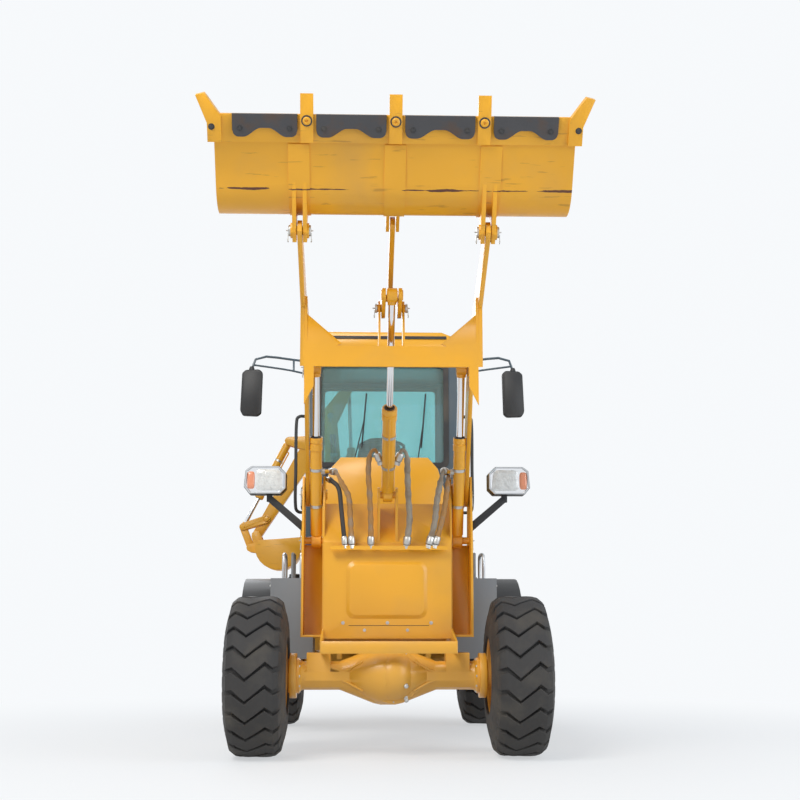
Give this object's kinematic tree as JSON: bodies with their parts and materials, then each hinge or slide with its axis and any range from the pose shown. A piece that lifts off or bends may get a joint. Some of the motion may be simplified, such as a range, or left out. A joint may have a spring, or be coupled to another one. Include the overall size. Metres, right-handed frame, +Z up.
{
  "type": "backhoe loader",
  "caption": "Articulated backhoe loader with a raised front bucket on banana arms, hollow cab, and a folded rear digging arm swung to one side.",
  "frame": {"origin": "on the ground below the middle of the whole object's box", "axes": "+Z up, +Y to the rear of the machine, +X to the machine's left side"},
  "size_m": [2.608, 5.9846, 3.9392],
  "materials": {
    "yellow_paint": "satin",
    "rim_paint": "satin",
    "tyre_rubber": "matte",
    "cast_iron": "rough",
    "slate_paint": "satin",
    "black_plastic": "matte",
    "grey_paint": "satin",
    "tinted_glass": "polished",
    "rod_chrome": "polished",
    "seat_fabric": "woven",
    "hose_rubber": "matte"
  },
  "bodies": {
    "chassis": {"rear_frame": "yellow_paint", "rear_axle": "yellow_paint", "engine_block": "cast_iron", "cab_frame": "slate_paint", "cab_roof": "yellow_paint", "windshield": "tinted_glass", "rear_window": "tinted_glass", "seat": "seat_fabric", "dashboard": "black_plastic", "fuel_tank": "grey_paint", "hydraulic_tank": "grey_paint", "fender_left": "black_plastic", "fender_right": "black_plastic", "mirror_left": "black_plastic", "mirror_right": "black_plastic"},
    "front_chassis": {"front_frame": "yellow_paint", "front_axle": "yellow_paint", "headlamp_left": "black_plastic", "headlamp_right": "black_plastic", "loader_hoses": "hose_rubber"},
    "hood": {"hood": "yellow_paint"},
    "door_left": {"door_left": "slate_paint", "door_glass_left": "tinted_glass"},
    "door_right": {"door_right": "slate_paint", "door_glass_right": "tinted_glass"},
    "front_left_wheel": {"front_left_tyre": "tyre_rubber", "front_left_rim": "rim_paint"},
    "front_right_wheel": {"front_right_tyre": "tyre_rubber", "front_right_rim": "rim_paint"},
    "rear_left_wheel": {"rear_left_tyre": "tyre_rubber", "rear_left_rim": "rim_paint"},
    "rear_right_wheel": {"rear_right_tyre": "tyre_rubber", "rear_right_rim": "rim_paint"},
    "loader_arm": {"loader_arm": "yellow_paint"},
    "rocker": {"rocker": "yellow_paint"},
    "bucket_link": {"bucket_link": "yellow_paint"},
    "loader_bucket": {"loader_bucket": "yellow_paint"},
    "lift_barrel_left": {"lift_barrel_left": "yellow_paint"},
    "lift_barrel_right": {"lift_barrel_right": "yellow_paint"},
    "lift_rod_left": {"lift_rod_left": "rod_chrome"},
    "lift_rod_right": {"lift_rod_right": "rod_chrome"},
    "tilt_barrel": {"tilt_barrel": "yellow_paint"},
    "tilt_rod": {"tilt_rod": "rod_chrome"},
    "swing_post": {"swing_post": "yellow_paint"},
    "hoe_boom": {"hoe_boom": "yellow_paint"},
    "hoe_dipper": {"hoe_dipper": "yellow_paint"},
    "hoe_bucket": {"hoe_bucket": "yellow_paint"},
    "hoe_guide_link": {"hoe_guide_link": "yellow_paint"},
    "hoe_bucket_link": {"hoe_bucket_link": "yellow_paint"},
    "boom_barrel": {"boom_barrel": "yellow_paint"},
    "boom_rod": {"boom_rod": "rod_chrome"},
    "dipper_barrel": {"dipper_barrel": "yellow_paint"},
    "dipper_rod": {"dipper_rod": "rod_chrome"},
    "bucket_barrel": {"bucket_barrel": "yellow_paint"},
    "bucket_rod": {"bucket_rod": "rod_chrome"},
    "stabilizer_left": {"stabilizer_left": "yellow_paint"},
    "stabilizer_right": {"stabilizer_right": "yellow_paint"},
    "steering_barrel": {"steering_barrel": "black_plastic"},
    "steering_rod": {"steering_rod": "rod_chrome"}
  },
  "joints": [
    {"name": "steering", "type": "hinge", "parent": "chassis", "child": "front_chassis", "pos_m": [0.07399, 0.13315, 0.81], "axis": [0, 0, 1], "range_deg": [-35, 35]},
    {"name": "front_left_wheel_spin", "type": "hinge", "parent": "front_chassis", "child": "front_left_wheel", "pos_m": [0.95899, -1.11685, 0.537], "axis": [1, 0, 0], "continuous": true},
    {"name": "front_right_wheel_spin", "type": "hinge", "parent": "front_chassis", "child": "front_right_wheel", "pos_m": [-0.81101, -1.11685, 0.537], "axis": [1, 0, 0], "continuous": true},
    {"name": "rear_left_wheel_spin", "type": "hinge", "parent": "chassis", "child": "rear_left_wheel", "pos_m": [0.95899, 1.48315, 0.537], "axis": [1, 0, 0], "continuous": true},
    {"name": "rear_right_wheel_spin", "type": "hinge", "parent": "chassis", "child": "rear_right_wheel", "pos_m": [-0.81101, 1.48315, 0.537], "axis": [1, 0, 0], "continuous": true},
    {"name": "hood_lid", "type": "hinge", "parent": "chassis", "child": "hood", "pos_m": [0.07399, 1.08315, 2.19], "axis": [-1, 0, 0], "range_deg": [0, 50]},
    {"name": "door_left_hinge", "type": "hinge", "parent": "chassis", "child": "door_left", "pos_m": [0.73399, 2.00715, 2.3], "axis": [0, 0, 1], "range_deg": [0, 85]},
    {"name": "door_right_hinge", "type": "hinge", "parent": "chassis", "child": "door_right", "pos_m": [-0.58601, 2.00715, 2.3], "axis": [0, 0, -1], "range_deg": [0, 85]},
    {"name": "loader_lift", "type": "hinge", "parent": "front_chassis", "child": "loader_arm", "pos_m": [0.07399, -0.74685, 1.8], "axis": [-1, 0, 0], "range_deg": [-88, 0]},
    {"name": "bucket_tilt", "type": "hinge", "parent": "loader_arm", "child": "loader_bucket", "pos_m": [0.07399, -2.51685, 3.24], "axis": [1, 0, 0], "range_deg": [-26, 100]},
    {"name": "rocker_turn", "type": "hinge", "parent": "loader_arm", "child": "rocker", "pos_m": [0.07399, -1.87685, 2.915], "axis": [1, 0, 0], "range_deg": [-26.5, 100.5]},
    {"name": "bucket_link_turn", "type": "hinge", "parent": "rocker", "child": "bucket_link", "pos_m": [0.07399, -1.52545, 3.06973], "axis": [1, 0, 0], "range_deg": [-100.5, 26.5]},
    {"name": "lift_barrel_left_turn", "type": "hinge", "parent": "front_chassis", "child": "lift_barrel_left", "pos_m": [0.58099, -0.74685, 1.47], "axis": [-1, 0, 0], "range_deg": [-76.66, 0.5]},
    {"name": "lift_rod_left_slide", "type": "slide", "parent": "lift_barrel_left", "child": "lift_rod_left", "axis": [0, -0.393, 0.9196], "range_m": [-0.409, 0.005]},
    {"name": "lift_barrel_right_turn", "type": "hinge", "parent": "front_chassis", "child": "lift_barrel_right", "pos_m": [-0.43301, -0.74685, 1.47], "axis": [-1, 0, 0], "range_deg": [-76.66, 0.5]},
    {"name": "lift_rod_right_slide", "type": "slide", "parent": "lift_barrel_right", "child": "lift_rod_right", "axis": [0, -0.393, 0.9196], "range_m": [-0.409, 0.005]},
    {"name": "tilt_barrel_turn", "type": "hinge", "parent": "front_chassis", "child": "tilt_barrel", "pos_m": [0.07399, -0.96685, 1.78], "axis": [-1, 0, 0], "range_deg": [-99.37, 0.5]},
    {"name": "tilt_rod_slide", "type": "slide", "parent": "tilt_barrel", "child": "tilt_rod", "axis": [0, -0.694, 0.72], "range_m": [-0.3415, 0.0925]},
    {"name": "steering_barrel_turn", "type": "hinge", "parent": "chassis", "child": "steering_barrel", "pos_m": [-0.09601, 0.46315, 1.01], "axis": [0, 0, 1], "range_deg": [-18, 18]},
    {"name": "steering_rod_slide", "type": "slide", "parent": "steering_barrel", "child": "steering_rod", "axis": [0, -1, 0], "range_m": [-0.165, 0.165]},
    {"name": "hoe_swing", "type": "hinge", "parent": "chassis", "child": "swing_post", "pos_m": [0.07399, 2.79315, 0.85], "axis": [0, 0, -1], "range_deg": [0, 180]},
    {"name": "hoe_boom_lower", "type": "hinge", "parent": "swing_post", "child": "hoe_boom", "pos_m": [-0.26601, 2.79315, 0.86], "axis": [0, -1, 0], "range_deg": [0, 95]},
    {"name": "hoe_dipper_open", "type": "hinge", "parent": "hoe_boom", "child": "hoe_dipper", "pos_m": [-0.41601, 2.79315, 2.91], "axis": [0, 1, 0], "range_deg": [0, 105]},
    {"name": "hoe_bucket_open", "type": "hinge", "parent": "hoe_dipper", "child": "hoe_bucket", "pos_m": [-1.13601, 2.79315, 1.711], "axis": [0, 1, 0], "range_deg": [0, 120]},
    {"name": "hoe_guide_turn", "type": "hinge", "parent": "hoe_dipper", "child": "hoe_guide_link", "pos_m": [-1.0382, 2.79315, 1.87389], "axis": [0, 1, 0], "range_deg": [-0.5, 64.5]},
    {"name": "hoe_link_turn", "type": "hinge", "parent": "hoe_guide_link", "child": "hoe_bucket_link", "pos_m": [-1.27146, 2.79315, 1.79895], "axis": [0, 1, 0], "range_deg": [-44.5, 0.5]},
    {"name": "boom_barrel_turn", "type": "hinge", "parent": "swing_post", "child": "boom_barrel", "pos_m": [-0.46601, 2.79315, 0.63], "axis": [0, -1, 0], "range_deg": [-0.5, 95.69]},
    {"name": "boom_rod_slide", "type": "slide", "parent": "boom_barrel", "child": "boom_rod", "axis": [-0.031, 0, 0.9995], "range_m": [-0.4544, 0.005]},
    {"name": "dipper_barrel_turn", "type": "hinge", "parent": "hoe_boom", "child": "dipper_barrel", "pos_m": [-0.18101, 2.79315, 1.9], "axis": [0, 1, 0], "range_deg": [-0.5, 3.79]},
    {"name": "dipper_rod_slide", "type": "slide", "parent": "dipper_barrel", "child": "dipper_rod", "axis": [-0.0379, 0, 0.9993], "range_m": [-0.5722, 0.005]},
    {"name": "bucket_barrel_turn", "type": "hinge", "parent": "hoe_dipper", "child": "bucket_barrel", "pos_m": [-0.83101, 2.79315, 2.655], "axis": [0, 1, 0], "range_deg": [-0.5, 5.22]},
    {"name": "bucket_rod_slide", "type": "slide", "parent": "bucket_barrel", "child": "bucket_rod", "axis": [-0.4575, 0, -0.8892], "range_m": [-0.2556, 0.005]},
    {"name": "stabilizer_left_down", "type": "slide", "parent": "chassis", "child": "stabilizer_left", "axis": [0, 0, -1], "range_m": [0, 0.31]},
    {"name": "stabilizer_right_down", "type": "slide", "parent": "chassis", "child": "stabilizer_right", "axis": [0, 0, -1], "range_m": [0, 0.31]}
  ],
  "couplings": [
    {"joint": "rocker_turn", "follows": "bucket_tilt", "ratio": 1},
    {"joint": "bucket_link_turn", "follows": "bucket_tilt", "ratio": -1},
    {"joint": "lift_barrel_left_turn", "follows": "loader_lift", "ratio": 0.8655},
    {"joint": "lift_rod_left_slide", "follows": "loader_lift", "m_per_rad": 0.26304},
    {"joint": "lift_barrel_right_turn", "follows": "loader_lift", "ratio": 0.8655},
    {"joint": "lift_rod_right_slide", "follows": "loader_lift", "m_per_rad": 0.26304},
    {"joint": "tilt_barrel_turn", "follows": "loader_lift", "ratio": 1.1235},
    {"joint": "tilt_rod_slide", "follows": "bucket_tilt", "m_per_rad": -0.1928},
    {"joint": "steering_barrel_turn", "follows": "steering", "ratio": 0.5},
    {"joint": "steering_rod_slide", "follows": "steering", "m_per_rad": 0.16737},
    {"joint": "hoe_guide_turn", "follows": "hoe_bucket_open", "ratio": 0.53333},
    {"joint": "hoe_link_turn", "follows": "hoe_bucket_open", "ratio": -0.36667},
    {"joint": "boom_barrel_turn", "follows": "hoe_boom_lower", "ratio": 1.002},
    {"joint": "boom_rod_slide", "follows": "hoe_boom_lower", "m_per_rad": -0.27106},
    {"joint": "dipper_barrel_turn", "follows": "hoe_dipper_open", "ratio": 0.03131},
    {"joint": "dipper_rod_slide", "follows": "hoe_dipper_open", "m_per_rad": -0.30952},
    {"joint": "bucket_barrel_turn", "follows": "hoe_bucket_open", "ratio": 0.03931},
    {"joint": "bucket_rod_slide", "follows": "hoe_bucket_open", "m_per_rad": -0.11963}
  ]
}
